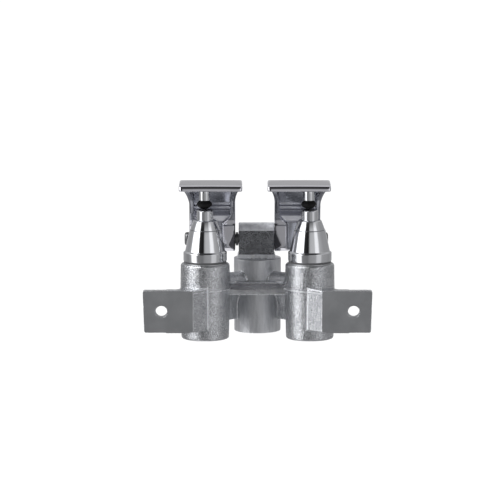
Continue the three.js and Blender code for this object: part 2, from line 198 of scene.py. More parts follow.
def poly(px, py, pts):
    d = (px - pts[0][0]) ** 2 + (py - pts[0][1]) ** 2
    s = np.ones_like(d)
    for i in range(len(pts)):
        (xi, yi), (xj, yj) = pts[i], pts[i - 1]
        ex, ey = xj - xi, yj - yi
        wx, wy = px - xi, py - yi
        t = np.clip((wx * ex + wy * ey) / (ex * ex + ey * ey), 0, 1)
        d = np.minimum(d, (wx - ex * t) ** 2 + (wy - ey * t) ** 2)
        c1, c2, c3 = py >= yi, py < yj, ex * wy > ey * wx
        s = np.where((c1 & c2 & c3) | (~c1 & ~c2 & ~c3), -s, s)
    return s * np.sqrt(d)


def smooth_poly(pts, closed=True, per=6):
    """Catmull-Rom through the points, for a flowing outline."""
    p = np.array(pts, float)
    n = len(p)
    out = []
    for i in range(n if closed else n - 1):
        a, b, c, d = (
            p[(i - 1) % n] if closed or i > 0 else p[0],
            p[i],
            p[(i + 1) % n],
            p[(i + 2) % n] if closed or i + 2 < n else p[-1],
        )
        for k in range(per):
            t = k / per
            out.append(
                0.5
                * (
                    2 * b
                    + (c - a) * t
                    + (2 * a - 5 * b + 4 * c - d) * t * t
                    + (3 * b - a - 3 * c + d) * t**3
                )
            )
    if not closed:
        out.append(p[-1])
    return [tuple(q) for q in out]


rng = np.random.default_rng(7)
WAVES = []
for wavelength, amp in ((6.1, 0.012), (3.9, 0.009), (2.7, 0.010), (1.9, 0.010)):
    for _ in range(4):
        v = rng.normal(size=3)
        v /= np.linalg.norm(v)
        WAVES.append((v * 2 * math.pi / (wavelength * rng.uniform(0.85, 1.15)), amp, rng.uniform(0, 6.28)))


def cast_noise(x, y, z):
    """Low lumps of a sand-cast skin, at most about 0.1 mm."""
    s = 0.0
    for k, amp, ph in WAVES:
        s = s + amp * np.sin(k[0] * x + k[1] * y + k[2] * z + ph)
    return np.clip(s, -0.1, 0.1)


def extract(f, lo, hi, h, block=20):
    """Surface nets of f = 0 on a grid, worked only near the surface."""
    lo, hi = np.array(lo, float), np.array(hi, float)
    n = (np.ceil((hi - lo) / h).astype(int) + 1)
    F = np.empty(tuple(n), np.float32)
    ax = [lo[i] + h * np.arange(n[i]) for i in range(3)]
    nb = [int(math.ceil(n[i] / block)) for i in range(3)]
    mid = [
        np.array([ax[i][min(b * block + block // 2, n[i] - 1)] for b in range(nb[i])])
        for i in range(3)
    ]
    coarse = f(mid[0][:, None, None], mid[1][None, :, None], mid[2][None, None, :])
    coarse = np.broadcast_to(coarse, tuple(nb))
    reach = block * h * 0.5 * math.sqrt(3) * 1.2 + 1.5
    for i in range(nb[0]):
        for j in range(nb[1]):
            for k in range(nb[2]):
                sl = tuple(slice(b * block, (b + 1) * block) for b in (i, j, k))
                c = float(coarse[i, j, k])
                if abs(c) > reach * 1.35:
                    F[sl] = 10.0 if c > 0 else -10.0
                    continue
                F[sl] = f(
                    ax[0][sl[0]][:, None, None],
                    ax[1][sl[1]][None, :, None],
                    ax[2][sl[2]][None, None, :],
                )
    F[np.abs(F) < 1e-6] = 1e-6
    S = F < 0
    count = sum(
        S[a : n[0] - 1 + a, b : n[1] - 1 + b, c : n[2] - 1 + c].astype(np.int8)
        for a in (0, 1)
        for b in (0, 1)
        for c in (0, 1)
    )
    active = (count > 0) & (count < 8)
    idx = np.full(active.shape, -1, np.int64)
    I, J, K = np.nonzero(active)
    idx[I, J, K] = np.arange(len(I))
    acc, cnt = np.zeros((len(I), 3)), np.zeros(len(I))
    for axis in range(3):
        o1, o2 = [a for a in range(3) if a != axis]
        for u in (0, 1):
            for w in (0, 1):
                off = [0, 0, 0]
                off[o1], off[o2] = u, w
                end = list(off)
                end[axis] = 1
                fa = F[I + off[0], J + off[1], K + off[2]].astype(float)
                fb = F[I + end[0], J + end[1], K + end[2]].astype(float)
                cr = (fa < 0) != (fb < 0)
                t = np.where(cr, fa / np.where(cr, fa - fb, 1), 0)
                pt = np.zeros((len(I), 3))
                pt[:, o1], pt[:, o2], pt[:, axis] = u, w, t
                acc += pt * cr[:, None]
                cnt += cr
    V = (np.stack([I, J, K], 1) + acc / cnt[:, None]) * h + lo
    quads = []
    for axis in range(3):
        b, c = (axis + 1) % 3, (axis + 2) % 3
        first = [slice(1, -1)] * 3
        second = [slice(1, -1)] * 3
        first[axis], second[axis] = slice(0, -1), slice(1, None)
        Sa, Sb = S[tuple(first)], S[tuple(second)]
        cross = Sa != Sb
        P = list(np.nonzero(cross))
        inside = Sa[tuple(P)]
        P[b] = P[b] + 1
        P[c] = P[c] + 1

        def cell(db, dc):
            q = list(P)
            q[b] = q[b] + db
            q[c] = q[c] + dc
            return idx[q[0], q[1], q[2]]

        q = np.stack([cell(-1, -1), cell(0, -1), cell(0, 0), cell(-1, 0)], 1)
        q[~inside] = q[~inside][:, ::-1]
        quads.append(q)
    return V, np.concatenate(quads)


def settle(f, V, h, steps=3, eps=0.01):
    """Draws the vertices onto the true surface."""
    for _ in range(steps):
        x, y, z = V[:, 0], V[:, 1], V[:, 2]
        d = f(x, y, z)
        g = np.stack([f(x + eps, y, z) - d, f(x, y + eps, z) - d, f(x, y, z + eps) - d], 1) / eps
        n2 = np.maximum((g * g).sum(1), 0.3)
        V = V - np.clip(d / n2, -0.25 * h, 0.25 * h)[:, None] * g
    return V


# ------------------------------------------------------------------ the casting
BX = (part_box("right_bonnet")[0].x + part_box("right_bonnet")[1].x) / 2 / MM  # inlet barrel axes
OUT_Y = 39.0
EAR_FACE = -29.5


def f_cast(x, y, z):
    """The outside of the casting, before machining."""
    ax = np.abs(x)
    # inlet barrels: draft both ways from the ridge where the mould halves met
    ridge = np.exp(-(((z - 40.0) / 0.5) ** 2))
    r = 19.78 - np.where(z < 40, 0.0195 * (40 - z), 0.013 * (z - 40)) + 0.12 * ridge
    d = two(hyp(ax - BX, y) - r, np.abs(z - 30.15) - 30.3, 1.9)
    inlet = d
    # outlet barrel
    outlet = two(
        hyp(x, y - OUT_Y) - (18.66 + 0.007 * np.clip(z, 0, 40)), np.abs(z - 29.6) - 29.75, 0.75
    )
    # cross tubes and the webs under them
    L = math.hypot(BX, OUT_Y)
    ux, uy = -BX / L, OUT_Y / L
    t = np.clip((ax - BX) * ux + y * uy, 0, L)
    across = hyp(ax - BX - t * ux, y - t * uy)
    tube = hyp(across, z - 42.1) - 8.75 + 1.3 * np.clip((t - 14) / 24, 0, 1)
    # the tubes stand clear of the shelf's sloping front
    tube = smax(tube, np.minimum(((z - 38.0) * 5.8 - (y - 6.0) * 4.9) / 7.59 + 0.3, 43.2 - z), 0.5)
    # the webs stand behind the tubes' centre lines and sweep forward as they rise to them
    h = (ax - BX) * uy - y * ux
    k = np.clip((z - 21.0) / 15.0, 0, 1)
    front = 3.4 - 7.6 * k * k
    web = smax(
        smax(front - h, h - 8.3 - 0.02 * (42 - z), 0.7), np.maximum(10.6 - z, z - 43.0), 1.2
    )
    web = np.maximum(web, np.maximum(6.0 - (ax - BX) * ux - y * uy, (ax - BX) * ux + y * uy - L + 4.0))
    # the straight shelf between the inlet barrels
    plan = poly(ax, y, [(0, -4), (31, -4), (30, 13), (12, 27.5), (0, 27.5)])
    side = poly(y, z, [(6.0, 33.5), (6.0, 38.0), (11.8, 42.9), (27.5, 42.9), (27.5, 33.5)])
    shelf = smax(smax(plan, -12 - x * 0, 0.2), side, 0.5)
    # hinge block, with a low foot
    bx = np.abs(x + 0.8) - 14.3
    up = hyp(y - AXLE_Y, np.maximum(z - 80.85, 0)) - 6.7
    blk = two(np.maximum(up, 57 - z), bx, 0.9)
    foot = two(
        np.maximum(np.abs(y - AXLE_Y) - 7.6, bx - 0.75), np.abs(z - 59.2) - 3.1, 0.6
    )
    # ears: pad, and the web that runs from it back to the barrel
    lean = 1.1 * (42.35 - z) / 33.6 * np.clip((ax - 60) / 20, 0, 1)
    pad = box3(ax + lean, y, z, (53.6, EAR_FACE - 2.5, 8.85), (90.95, -20.1, 42.35), 1.7)
    rise = 42.3 + 1.0 * np.clip((51.5 - ax) / 12.0, 0, 1)
    plan = poly(
        ax,
        y,
        [
            (38.3, -18.4), (51.2, EAR_FACE - 0.05), (52.4, EAR_FACE - 2.5), (72.0, EAR_FACE - 2.5),
            (72.0, -20.1), (68.2, -20.0), (65.2, -18.9), (62.9, -16.9), (61.5, -13.6),
            (60.6, -8.0), (60.0, 0.0), (54.0, 4.0), (44.0, 0.0),
        ],
    )
    gusset = smax(plan, np.maximum(z - rise, 8.9 - z), 0.9)
    ear = smin(pad, gusset, 1.2)
    d = smin(inlet, tube, 3.2)
    d = smin(d, web, 1.6)
    d = smin(d, outlet, 1.5)
    d = smin(d, shelf, 0.6)
    d = smin(d, ear, 0.7)
    top = smin(blk, foot, 1.6)
    d = smin(d, top, 0.9)
    return d + cast_noise(x, y, z)


def bores(x, y, z):
    ax = np.abs(x)
    rs = hyp(ax - BX, y)
    # pipe thread in the ports: 14 threads to the inch
    def thread(px, py, rr):
        turn = np.arctan2(py, px) / (2 * math.pi)
        saw = np.abs(((z / 1.814 + turn) % 1.0) - 0.5) * 2
        return rr - (10.35 - 0.028 * (z - 2) + 0.75 * (saw - 0.5))

    out = np.minimum(
        np.maximum(thread(ax - BX, y, rs), z - 16.8), np.maximum(rs - 9.3, z - 37.2)
    )
    ro = hyp(x, y - OUT_Y)
    out = np.minimum(out, np.maximum(thread(x, y - OUT_Y, ro), z - 16.8))
    out = np.minimum(out, np.maximum(ro - 8.4, z - 49.5))
    # chamfered mouths
    out = np.minimum(out, np.minimum(rs, ro) - 11.6 + np.maximum(z, -2) * 0.95 + 0.0 * x)
    out = np.minimum(out, np.maximum(rs - 10.6, np.abs(z - 41.6) - 4.4))
    out = np.minimum(out, np.maximum(rs - 13.6, 46.0 - z))
    L = math.hypot(BX, OUT_Y)
    ux, uy = -BX / L, OUT_Y / L
    t = np.clip((ax - BX) * ux + y * uy, 0, L)
    out = np.minimum(out, hyp(hyp(ax - BX - t * ux, y - t * uy), z - 41.6) - 4.2)
    # axle hole, bolt holes with broken edges
    out = np.minimum(out, np.maximum(hyp(y - AXLE_Y, z - AXLE_Z) - 4.25, np.abs(x) - 30))
    rh = hyp(ax - 76.2, z - 25.8)
    hole = np.maximum(rh - 4.65, y + 12)
    edge = np.maximum(rh - 4.65 - 0.35 + (y - EAR_FACE) * 1.0, y + 28)
    return np.minimum(out, np.minimum(hole, edge))


def f_body(x, y, z):
    d = f_cast(x, y, z)
    d = np.maximum(d, EAR_FACE - y)  # machined ear faces
    d = np.maximum(d, -z)  # faced port ends
    barrel_top = z - 60.35 + 0.0 * (x + y)  # faced inlet tops
    rb = hyp(np.abs(x) - BX, y)
    d = np.where(rb < 21, np.maximum(d, barrel_top), d)
    # the machined rim that carries the gasket
    d = np.minimum(d, two(rb - 17.25, np.abs(z - 60.0) - 1.28, 0.15))
    return np.maximum(d, -bores(x, y, z))


# ------------------------------------------------------------------ the pedals
EYE = 10.0
ARC = [
    (AXLE_Y + EYE * math.cos(math.radians(a)), AXLE_Z + EYE * math.sin(math.radians(a)))
    for a in np.linspace(270, 368, 24)
]
OUTLINE = (
    [(1.0, 120.6), (5.0, 115.6), (11.0, 109.0), (18.0, 103.2), (24.3, 97.0), (27.5, 91.0), (28.4, 87.0)]
    + [(29.2, 85.4), (29.2, 71.2), (30.2, 68.2), (32.6, 65.9), (36.0, 64.5)]
    + ARC
    + smooth_poly(
        [(48.6, 79.0), (47.4, 86.0), (44.8, 96.0), (40.9, 106.6), (36.2, 115.0), (31.0, 120.2), (25.0, 122.8)],
        closed=False,
    )
    + [(1.0, 122.8)]
)
HOLLOW_SIDE = (
    [(-30, 50), (31.6, 50), (31.6, 88.6), (32.4, 89.8), (33.3, 94.2), (36.2, 95.5)]
    + smooth_poly(
        [(40.4, 96.8), (39.8, 99.0), (37.0, 105.8), (33.2, 112.0), (28.6, 117.0), (21.0, 119.4)],
        closed=False,
    )
    + [(-30, 119.4)]
)


def f_pedal(x, y, z, inside=False):
    """x is measured outboard from the middle, without the end play."""
    # front view, X-Z
    half_in = 18.45 + 4.9 * np.clip((z - 104.5) / 15.5, 0, 1) ** 2.2
    cx = 34.15 + 1.0 * np.clip((z - 106) / 14, 0, 1)
    flare = np.abs(x - cx) - half_in
    side = poly(y, z, OUTLINE)
    shell = smax(side, flare, 1.6)
    # the hollow: walls about 4 mm, arms that thicken to the eyes
    k = np.clip((z - 86.5) / 9.0, 0, 1)
    k = k * k * (3 - 2 * k)
    lo = 25.7 - 6.2 * k - 3.0 * np.clip((z - 105) / 14, 0, 1) ** 2
    hi = 43.1 + 5.7 * k + 3.6 * np.clip((z - 105) / 14, 0, 1) ** 2
    hf = np.maximum(lo - x, x - hi)
    # low steps across the inside of the back wall
    rib = 0.42 * (
        np.exp(-(((z - 102.4) / 0.9) ** 2))
        + np.exp(-(((z - 98.9) / 0.8) ** 2))
        + np.exp(-(((z - 96.4) / 0.7) ** 2))
    )
    hollow = smax(hf, poly(y, z, HOLLOW_SIDE) + rib, 1.2)
    if inside:
        return hollow
    shell = smax(shell, -hollow, 0.8)
    # the inboard corner of the arm is cut back in a curve towards the foot of the hinge eye
    b = 6.0 * np.clip((88 - z) / 18, 0, 1) ** 1.6
    cut = ((15.7 + b - x) - (y - 29.2) / 0.4) * 0.37
    shell = smax(shell, np.where(z < 88, cut, -10.0), 0.4)
    # the plate: rounded front roll, eased corners, slight crown
    cxp, cyp = 35.2, 7.5
    px = np.abs(x - cxp) - 25.35
    py = np.abs(y - cyp) - 19.45
    plan = two(px, py, 3.0)
    crown = 0.16 * ((x - cxp) / 25.4) ** 2 + 0.0010 * (y - 6) ** 2
    top = z - (124.0 - np.minimum(crown, 0.6))
    low = 119.1 - z
    roll = two(-11.95 - y, top, 4.7)  # the front edge rolls over
    plate = smax(smax(plan + 0.05 * np.clip(123.9 - z, 0, 5), roll, 1.5), low, 0.8)
    # hollow under-face, leaving a rolled rim
    rim = smax(two(px + 3.2, py + 3.2, 2.0), np.maximum(z - 120.2, -1000), 0.8)
    plate = smax(plate, -np.where(y < 30, rim, 10.0), 0.6)
    d = smin(shell, plate, 2.4)
    # hinge bore
    bore = hyp(y - AXLE_Y, z - AXLE_Z)
    d = smax(d, -(bore - EYE_BORE), 0.5)
    return d


EYE_BORE = 6.5


# ------------------------------------------------------------------ materials
def new_material(name):
    m = bpy.data.materials.new(name)
    m.use_nodes = True
    nt = m.node_tree
    nt.nodes.clear()
    out = nt.nodes.new("ShaderNodeOutputMaterial")
    b = nt.nodes.new("ShaderNodeBsdfPrincipled")
    nt.links.new(b.outputs[0], out.inputs[0])
    return m, nt, b


def node(nt, kind, **inputs):
    n = nt.nodes.new(kind)
    for k, v in inputs.items():
        if k in n.inputs:
            n.inputs[k].default_value = v
        else:
            setattr(n, k, v)
    return n


def coords(nt, scale=(1, 1, 1)):
    c = nt.nodes.new("ShaderNodeTexCoord")
    m = node(nt, "ShaderNodeMapping", Scale=scale)
    nt.links.new(c.outputs["Object"], m.inputs["Vector"])
    return m.outputs[0]


def noise(nt, vec, scale, detail=3.0, rough=0.5):
    n = node(nt, "ShaderNodeTexNoise", Scale=scale, Detail=detail, Roughness=rough)
    nt.links.new(vec, n.inputs["Vector"])
    return n.outputs["Fac"]


def ramp(nt, fac, a, b, lo, hi):
    n = node(nt, "ShaderNodeMapRange")
    n.inputs["From Min"].default_value = a
    n.inputs["From Max"].default_value = b
    n.inputs["To Min"].default_value = lo
    n.inputs["To Max"].default_value = hi
    nt.links.new(fac, n.inputs["Value"])
    return n.outputs["Result"]


def math_node(nt, op, a, b):
    n = node(nt, "ShaderNodeMath", operation=op)
    for i, v in enumerate((a, b)):
        if isinstance(v, (int, float)):
            n.inputs[i].default_value = v
        else:
            nt.links.new(v, n.inputs[i])
    return n.outputs[0]


def tint(nt, fac, c0, c1):
    n = node(nt, "ShaderNodeMix", data_type="RGBA")
    n.inputs["A"].default_value = (*c0, 1)
    n.inputs["B"].default_value = (*c1, 1)
    nt.links.new(fac, n.inputs["Factor"])
    for s in n.inputs:
        if s.type == "RGBA" and s.name == "A":
            s.default_value = (*c0, 1)
        if s.type == "RGBA" and s.name == "B":
            s.default_value = (*c1, 1)
    return [s for s in n.outputs if s.type == "RGBA"][0]


def bump(nt, height, strength, distance, base=None):
    n = node(nt, "ShaderNodeBump", Strength=strength, Distance=distance)
    nt.links.new(height, n.inputs["Height"])
    if base is not None:
        nt.links.new(base, n.inputs["Normal"])
    return n.outputs[0]


def cast_chrome(name="cast_chrome", dark=(0.29, 0.30, 0.315), light=(0.79, 0.80, 0.82), rough=0.15):
    """Plating over a sand-cast skin: a fine, sharp grain that sparkles."""
    m, nt, b = new_material(name)
    v = coords(nt)
    grain = noise(nt, v, 1500, 2.0, 0.5)
    fine = noise(nt, v, 3000, 2.0, 0.5)
    speck = noise(nt, v, 2000, 1.0, 0.5)
    h = math_node(nt, "ADD", math_node(nt, "MULTIPLY", grain, 1.0), math_node(nt, "MULTIPLY", fine, 0.3))
    nt.links.new(bump(nt, h, 1.0, 0.0002), b.inputs["Normal"])
    cloud = noise(nt, v, 90, 3.0, 0.6)
    nt.links.new(ramp(nt, cloud, 0.3, 0.7, rough, rough + 0.08), b.inputs["Roughness"])
    shade = math_node(nt, "ADD", math_node(nt, "MULTIPLY", cloud, 0.15), math_node(nt, "MULTIPLY", speck, 0.85))
    nt.links.new(tint(nt, ramp(nt, shade, 0.38, 0.60, 0.0, 1.0), dark, light), b.inputs["Base Color"])
    b.inputs["Metallic"].default_value = 1.0
    return m


def machined():
    m, nt, b = new_material("machined_face")
    v = coords(nt, (1, 1, 1))
    fine = coords(nt, (0.12, 1, 1))
    marks = noise(nt, fine, 2600, 2.0, 0.6)
    cloud = noise(nt, v, 55, 4.0, 0.6)
    nt.links.new(bump(nt, marks, 0.25, 0.00003), b.inputs["Normal"])
    nt.links.new(ramp(nt, cloud, 0.3, 0.7, 0.36, 0.46), b.inputs["Roughness"])
    nt.links.new(
        tint(nt, ramp(nt, cloud, 0.35, 0.65, 0.0, 1.0), (0.43, 0.44, 0.452), (0.50, 0.51, 0.522)),
        b.inputs["Base Color"],
    )
    b.inputs["Metallic"].default_value = 1.0
    return m


def satin_chrome(name="satin_chrome", gain=1.0, rough=0.46):
    """Plating over a dressed casting: dull, with faint streaks up and down."""
    m, nt, b = new_material(name)
    streak = noise(nt, coords(nt, (1, 1, 0.12)), 420, 3.0, 0.6)
    fine = noise(nt, coords(nt), 1900, 2.0, 0.5)
    h = math_node(nt, "ADD", math_node(nt, "MULTIPLY", streak, 0.5), math_node(nt, "MULTIPLY", fine, 0.5))
    nt.links.new(bump(nt, h, 0.3, 0.00007), b.inputs["Normal"])
    nt.links.new(ramp(nt, streak, 0.3, 0.7, rough, rough + 0.08), b.inputs["Roughness"])
    nt.links.new(
        tint(
            nt, ramp(nt, streak, 0.3, 0.7, 0.0, 1.0), tuple(gain * c for c in (0.58, 0.59, 0.61)),
            tuple(gain * c for c in (0.74, 0.75, 0.77)),
        ),
        b.inputs["Base Color"],
    )
    b.inputs["Metallic"].default_value = 1.0
    return m


def polished(name="polished_chrome", base=(0.74, 0.75, 0.77), rough=0.055):
    m, nt, b = new_material(name)
    v = coords(nt)
    wave = noise(nt, v, 240, 2.0, 0.5)
    smear = noise(nt, coords(nt, (1, 1, 0.35)), 130, 4.0, 0.6)
    nt.links.new(bump(nt, wave, 0.12, 0.00012), b.inputs["Normal"])
    nt.links.new(ramp(nt, smear, 0.35, 0.75, rough, rough + 0.07), b.inputs["Roughness"])
    nt.links.new(
        tint(nt, ramp(nt, smear, 0.3, 0.7, 0.0, 1.0), base, tuple(c * 0.94 for c in base)),
        b.inputs["Base Color"],
    )
    b.inputs["Metallic"].default_value = 1.0
    return m


def turned(name, base, rough):
    """Turned or drawn metal: fine rings or lines along the piece."""
    m, nt, b = new_material(name)
    lines = noise(nt, coords(nt, (0.15, 0.15, 1)), 3000, 2.0, 0.6)
    cloud = noise(nt, coords(nt), 160, 3.0, 0.6)
    nt.links.new(bump(nt, lines, 0.25, 0.00004), b.inputs["Normal"])
    nt.links.new(ramp(nt, cloud, 0.3, 0.7, rough - 0.05, rough + 0.08), b.inputs["Roughness"])
    nt.links.new(
        tint(nt, ramp(nt, cloud, 0.3, 0.7, 0.0, 1.0), base, tuple(c * 0.82 for c in base)),
        b.inputs["Base Color"],
    )
    b.inputs["Metallic"].default_value = 1.0
    return m


def soft(name, base, rough, scale, depth):
    m, nt, b = new_material(name)
    grain = noise(nt, coords(nt), scale, 4.0, 0.6)
    cloud = noise(nt, coords(nt), 150, 3.0, 0.5)
    nt.links.new(bump(nt, grain, 0.35, depth), b.inputs["Normal"])
    nt.links.new(ramp(nt, cloud, 0.3, 0.7, rough - 0.06, rough + 0.1), b.inputs["Roughness"])
    nt.links.new(
        tint(nt, ramp(nt, cloud, 0.3, 0.7, 0.0, 1.0), base, tuple(min(1, c * 1.25 + 0.004) for c in base)),
        b.inputs["Base Color"],
    )
    return m


M_CAST = cast_chrome()
# painted shade: a darkened copy of the cast plating, standing for the shade on the hinge block's front and back
M_SHADE_PAINTED_CAST = cast_chrome("cast_chrome_painted_shade", (0.06, 0.06, 0.065), (0.36, 0.37, 0.39), 0.24)
# painted shade: a darker copy of the cast plating for the shelf's sloping front
M_SLOPE_SHADE_CAST = cast_chrome("cast_chrome_slope_painted_shade", (0.14, 0.14, 0.15), (0.80, 0.81, 0.83), 0.2)
M_MACH = machined()
M_SATIN = satin_chrome("satin_chrome", 1.12)
# painted highlight: a brightened copy of the satin plating, for the hinge block's top and foot and for lines along the
# casting's edges
M_HIGHLIGHT_PAINTED_CHROME = satin_chrome("highlight_painted_chrome", 1.36, 0.55)
M_CHROME = polished()
M_INNER = polished("pedal_underside", (0.67, 0.68, 0.735), 0.2)
M_PEDAL = polished("pedal_chrome", (0.755, 0.752, 0.795), 0.06)
# painted highlight: a brightened copy of the pedal plating for the ledge inside the hollow
M_LEDGE_PAINTED_LIGHT = polished("ledge_painted_highlight", (0.93, 0.94, 0.99), 0.3)
# painted shade: near-black copy of the pedal plating for the arm's inboard cut corner
M_ARM_BEVEL_SHADE = polished("arm_bevel_painted_shade", (0.09, 0.09, 0.10), 0.2)
# painted shade: a darkened copy of the pedal plating for places under and between parts
M_SHADED = polished("pedal_painted_shade", (0.37, 0.378, 0.415), 0.16)
# painted shade: the steel's base is darkened well below bare steel so the axle ends read as lying in shade
M_PIN_SHADE_DARKENED = turned("pin_steel", (0.17, 0.172, 0.175), 0.3)
M_BRASS = turned("bare_brass", (0.78, 0.6, 0.28), 0.26)
M_SPRING = turned("spring_steel", (0.5, 0.5, 0.51), 0.3)
M_RUBBER = soft("black_rubber", (0.004, 0.004, 0.0045), 0.55, 1800, 0.00004)
M_RUBBER.node_tree.nodes["Principled BSDF"].inputs["Specular IOR Level"].default_value = 0.15
# painted reflection and shadow: near-black steel standing for the black bumper mirrored in the plunger's top
M_BUMPER_REFLECTION_PAINT = soft("plunger_top_painted_reflection", (0.012, 0.012, 0.013), 0.5, 1500, 0.00003)
M_FIBRE = soft("gasket_fibre", (0.11, 0.11, 0.115), 0.7, 2200, 0.00006)
M_NYLON = soft("nylon", (0.78, 0.77, 0.73), 0.42, 1500, 0.00003)
SLOT_MATERIAL = {
    "cast_chrome": M_CAST,
    "polished_chrome": M_CHROME,
    "pin_steel": M_PIN_SHADE_DARKENED,
    "bare_brass": M_BRASS,
    "spring_steel": M_SPRING,
    "black_rubber": M_RUBBER,
    "gasket_fibre": M_FIBRE,
    "nylon": M_NYLON,
}
for sub in frame["record"]["subparts"]:
    ob = frame["nodes"].get(sub["node"])
    if ob is not None:
        ob.data.materials.clear()
        ob.data.materials.append(SLOT_MATERIAL[sub["material_slot"]])


# ------------------------------------------------------------------ pieces
def place(ob, body, node_name):
    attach(ob, body)
    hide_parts(node_name)
    return ob


H_BODY = 0.55
lo = (-91.6, -30.4, -0.6)
hi = (91.6, 58.6, 88.2)
V, Q = extract(f_body, lo, hi, H_BODY)
V = settle(f_body, V, H_BODY, 2)
V[:, 0] = np.clip(V[:, 0], BODY_LO.x / MM, BODY_HI.x / MM)
V[:, 1] = np.clip(V[:, 1], EAR_FACE, BODY_HI.y / MM - DY)
V[:, 2] = np.clip(V[:, 2], 0.0, BODY_HI.z / MM)
centre = V[Q].mean(1)
n = np.cross(V[Q[:, 2]] - V[Q[:, 0]], V[Q[:, 3]] - V[Q[:, 1]])
n /= np.maximum(np.linalg.norm(n, axis=1), 1e-9)[:, None]
flat = (centre[:, 1] < EAR_FACE + 0.06) & (n[:, 1] < -0.9)
faced = ((centre[:, 2] < 0.06) & (n[:, 2] < -0.9)) | (
    (centre[:, 2] > 60.25) & (centre[:, 2] < 60.5) & (n[:, 2] > 0.9) & (np.abs(centre[:, 0]) > 20)
)
bored = -bores(centre[:, 0], centre[:, 1], centre[:, 2]) > -0.12
rim = (centre[:, 2] > 60.3) & (np.abs(centre[:, 0]) > 20)
ro = np.hypot(centre[:, 0], centre[:, 1] - OUT_Y)
satin = (ro < 19.15) & (ro > 12.0) & (centre[:, 2] < 59.6) & (centre[:, 2] > 0.1)
index = np.where(flat | faced | bored | rim, 1, np.where(satin, 2, 0))
cx, cy, cz = centre.T
on_block = (np.abs(cx + 0.8) < 14.15) & (cz > 61.3)
# painted shade: the hinge block's front and back faces take the darkened copy of the cast plating
index[(index == 0) & on_block & (cz < 81.8) & (np.abs(n[:, 1]) > 0.7)] = 3
# painted shade: the sloping front of the shelf takes the darker copy of the cast plating
index[(index == 0) & (np.abs(cx) < 23) & (cy < 12.4) & (cz > 38.2) & (cz < 42.6) & (n[:, 2] > 0.25) & (n[:, 1] < -0.25)] = 5
# painted highlight: the rounded top of the hinge block takes the brightened plating
index[(index == 0) & on_block & (cz >= 81.8) & (n[:, 2] > 0.1)] = 4
# painted highlight: the band round the hinge block's foot takes the brightened plating
index[(np.abs(cx + 0.8) < 15.3) & (np.abs(cy - AXLE_Y) < 8.2) & (cz > 59.5) & (cz < 62.4)] = 4
# painted highlights: bright lines painted along the parting line, the edges of the ear webs, the edges of the shelf
grit = np.random.default_rng(11).random(len(cx))
acx, rb_ = np.abs(cx), np.hypot(np.abs(cx) - BX, cy)
rise_ = 42.3 + 1.0 * np.clip((51.5 - acx) / 12.0, 0, 1)
web_ = (acx > 39.0) & (acx < 51.0) & (cy < -18.6)
lines = (np.abs(cz - 40.0) < 0.36) & (rb_ > 19.5) & (rb_ < 20.3) & (grit < 0.72)
lines |= web_ & (np.abs(cz - rise_ + 0.3) < 0.45) & (grit < 0.85)
lines |= web_ & (np.abs(cz - 39.9) < 0.3) & (grit < 0.7)
lines |= (np.abs(acx - 39.7) < 0.36) & (cy < -19.2) & (cz > 10) & (cz < 42) & (grit < 0.85)
lines |= (acx < 22.5) & (cy > 10.6) & (cy < 12.8) & (cz > 42.3) & (cz < 43.4) & (grit < 0.9)
lines |= (acx < 22.5) & (cy < 7.0) & (cy > 5.0) & (cz < 34.5) & (cz > 33.2) & (grit < 0.9)
index[(index != 1) & lines] = 4
body_ob = make_object(
    "valve_body_cast", V, Q, [M_CAST, M_MACH, M_SATIN, M_SHADE_PAINTED_CAST, M_HIGHLIGHT_PAINTED_CHROME, M_SLOPE_SHADE_CAST], index, sharp_deg=38
)
place(body_ob, "valve_body", "valve_body")

H_PEDAL = 0.6
PV, PQ = extract(f_pedal, (8.6, -13.2, 63.0), (62.0, 50.6, 125.2), H_PEDAL)
PV = settle(f_pedal, PV, H_PEDAL, 4)
pc_ = PV[PQ].mean(1)
pn = np.cross(PV[PQ[:, 2]] - PV[PQ[:, 0]], PV[PQ[:, 3]] - PV[PQ[:, 1]])
pn /= np.maximum(np.linalg.norm(pn, axis=1), 1e-9)[:, None]
inner = np.where(
    (f_pedal(pc_[:, 0], pc_[:, 1], pc_[:, 2], True) < 0.12) & (pc_[:, 2] < 119.0) & (pc_[:, 1] < 44.0), 1, 0
)
# painted shade: the inside of the hollow just under the plate
inner[(inner == 1) & (pc_[:, 2] > 104.5)] = 2
# painted highlight: the ledge faces inside the hollow take the brightened plating
inner[(inner == 1) & (pc_[:, 2] < 94.8) & (pc_[:, 2] > 89.2) & (pc_[:, 1] < 36.0)] = 3
# painted shade: the hub front between the arms, low in the hollow
inner[(inner == 1) & (pc_[:, 2] < 88.9)] = 2
# painted shade: faces turned down and forward, under the plate's front roll
inner[(pn[:, 1] < -0.3) & (pn[:, 2] < -0.25) & (pc_[:, 2] > 86) & (pc_[:, 2] < 118.8)] = 2
# painted shade: the inboard cut corner of the arm, facing forward and inboard
inner[(pn[:, 1] < -0.4) & (pn[:, 0] < -0.2) & (pc_[:, 2] < 88) & (pc_[:, 0] < 24)] = 4
for side, s in (("left", -1), ("right", 1)):
    blo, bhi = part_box(f"{side}_pedal")
    mid = (blo.x + bhi.x) / 2 / MM
    shift = mid - s * 35.2
    v = PV.copy()
    v[:, 0] = s * v[:, 0] + shift
    v[:, 0] = np.clip(v[:, 0], blo.x / MM, bhi.x / MM)
    v[:, 1] = np.clip(v[:, 1], blo.y / MM - DY, bhi.y / MM - DY)
    v[:, 2] = np.clip(v[:, 2], blo.z / MM, bhi.z / MM)
    q = PQ if s > 0 else PQ[:, ::-1]
    ob = make_object(f"{side}_pedal_cast", v, q, [M_PEDAL, M_INNER, M_SHADED, M_LEDGE_PAINTED_LIGHT, M_ARM_BEVEL_SHADE], inner, sharp_deg=60)
    place(ob, f"{side}_pedal", f"{side}_pedal")

